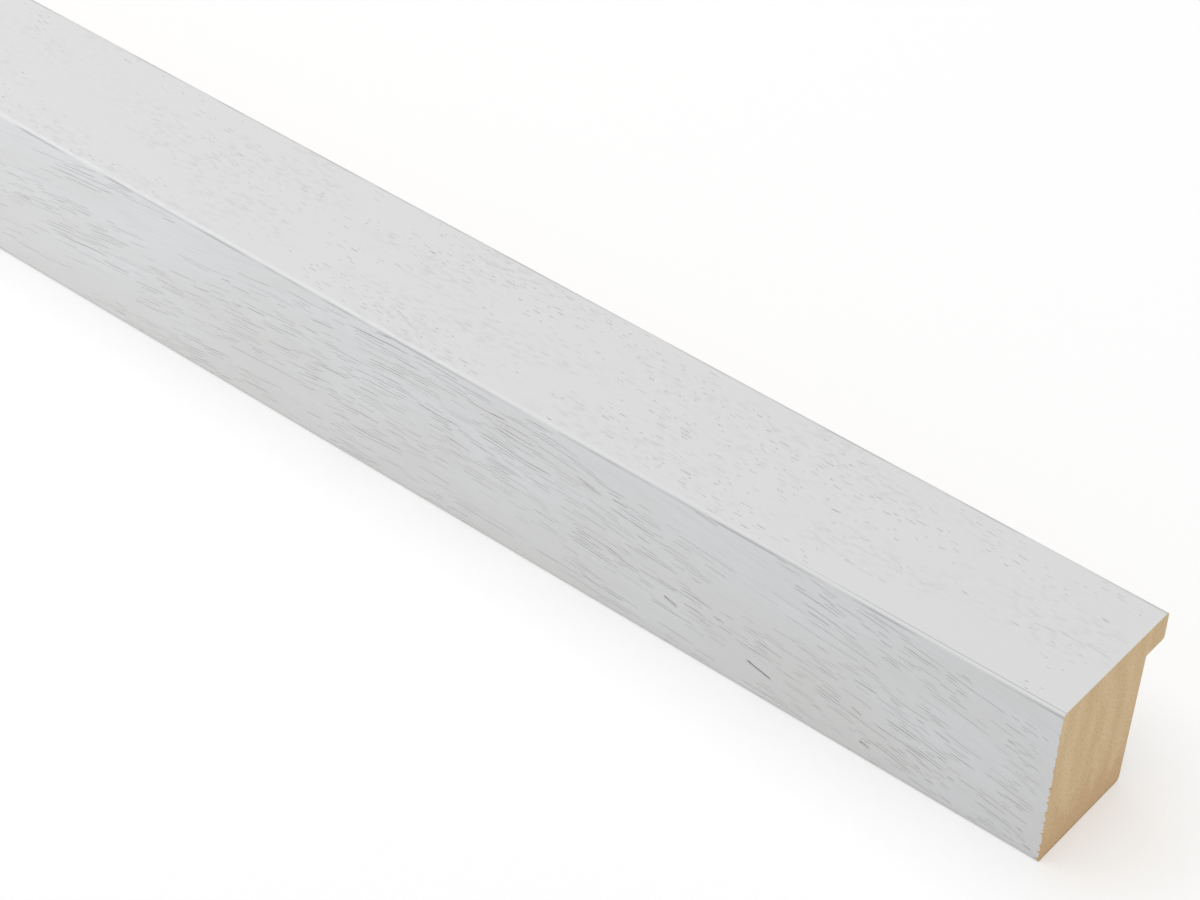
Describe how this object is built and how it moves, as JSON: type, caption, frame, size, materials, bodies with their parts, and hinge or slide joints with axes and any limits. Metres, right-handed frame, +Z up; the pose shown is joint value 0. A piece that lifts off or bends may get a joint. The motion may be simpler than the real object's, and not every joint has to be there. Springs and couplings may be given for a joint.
{
  "type": "picture frame moulding",
  "caption": "Straight stick of white-painted open-grain wooden picture frame moulding, deep square section, with a rebate under the lip for glass and picture.",
  "frame": {"origin": "centre of the bounding box's bottom, on the back of the stick, under the middle of its length", "axes": "+X along the stick, towards the cut end that the picture shows; +Y across the face, towards the lip's sight edge and the rebate; +Z up, out of the painted face"},
  "size_m": [1.2, 0.03, 0.033],
  "materials": {
    "painted_wood": "thin satin white paint over open-pored wood on the face, outer side and lip; bare sawn wood on the ends, back and rebate"
  },
  "bodies": {
    "root": {"moulding": "painted_wood"}
  },
  "joints": []
}
